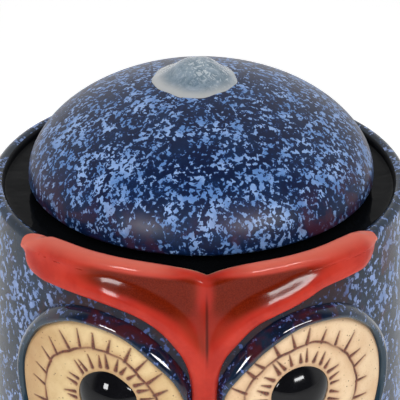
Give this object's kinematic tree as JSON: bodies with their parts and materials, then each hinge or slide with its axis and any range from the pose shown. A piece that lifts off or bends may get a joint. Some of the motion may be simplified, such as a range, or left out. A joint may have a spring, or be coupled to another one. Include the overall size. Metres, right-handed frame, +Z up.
{
  "type": "owl table fountain",
  "caption": "Glazed ceramic owl pot with a lift-off speckled domed crown that water wells over, a raised red V-shaped brow, round cream eyes and a small pump inside.",
  "frame": {"origin": "centre of the base where it rests on the table", "axes": "+Z up, the owl faces -Y, +X to the viewer's right when looking at its face"},
  "size_m": [0.264, 0.2688, 0.3605],
  "materials": {
    "blue_glaze": "gloss",
    "red_glaze": "gloss",
    "bare_clay": "matt",
    "dark_glaze": "gloss",
    "black_glaze": "gloss",
    "felt": "matt",
    "rubber": "matt",
    "silicone": "satin",
    "clear_hose": "gloss",
    "nozzle_plastic": "satin",
    "pump_plastic": "satin",
    "knob_plastic": "gloss",
    "bush_ceramic": "polished"
  },
  "bodies": {
    "pot_body": {"pot_wall_left": "blue_glaze", "pot_wall_right": "blue_glaze", "cord_boss": "blue_glaze", "pot_base": "blue_glaze", "crown_ledge_1": "blue_glaze", "crown_ledge_2": "blue_glaze", "crown_ledge_3": "blue_glaze", "crown_ledge_4": "blue_glaze", "brow": "red_glaze", "beak": "red_glaze", "eye_disc_left": "bare_clay", "eye_disc_right": "bare_clay", "eye_ring_left": "dark_glaze", "eye_ring_right": "dark_glaze", "pupil_left": "black_glaze", "pupil_right": "black_glaze", "wing_left": "blue_glaze", "wing_right": "blue_glaze", "foot_left": "red_glaze", "foot_right": "red_glaze", "tail": "blue_glaze", "base_felt": "felt", "cord_grommet": "rubber", "riser_hose": "clear_hose", "pump_housing": "pump_plastic", "pump_cover": "pump_plastic", "cable_gland": "rubber", "shaft_bush_rear": "bush_ceramic", "shaft_bush_front": "bush_ceramic", "impeller_shaft": "bush_ceramic", "suction_cup_1": "rubber", "suction_cup_2": "rubber", "suction_cup_3": "rubber", "suction_cup_4": "rubber"},
    "crown": {"crown_dome": "blue_glaze", "nozzle_seal": "silicone", "outlet_nozzle": "nozzle_plastic"},
    "impeller_body": {"impeller": "nozzle_plastic"},
    "strainer_body": {"strainer": "pump_plastic"},
    "knob_body": {"flow_knob": "knob_plastic"}
  },
  "joints": [
    {"name": "crown_lift", "type": "slide", "parent": "pot_body", "child": "crown", "axis": [0, 0, 1], "range_m": [0, 0.12]},
    {"name": "impeller_spin", "type": "hinge", "parent": "pot_body", "child": "impeller_body", "pos_m": [0, 0.016, 0.042], "axis": [0, 1, 0], "continuous": true},
    {"name": "strainer_pull", "type": "slide", "parent": "pot_body", "child": "strainer_body", "axis": [0, -1, 0], "range_m": [0, 0.015]},
    {"name": "flow_knob_turn", "type": "hinge", "parent": "pot_body", "child": "knob_body", "pos_m": [0.0242, -0.002, 0.042], "axis": [1, 0, 0], "range_deg": [-60, 60]}
  ]
}
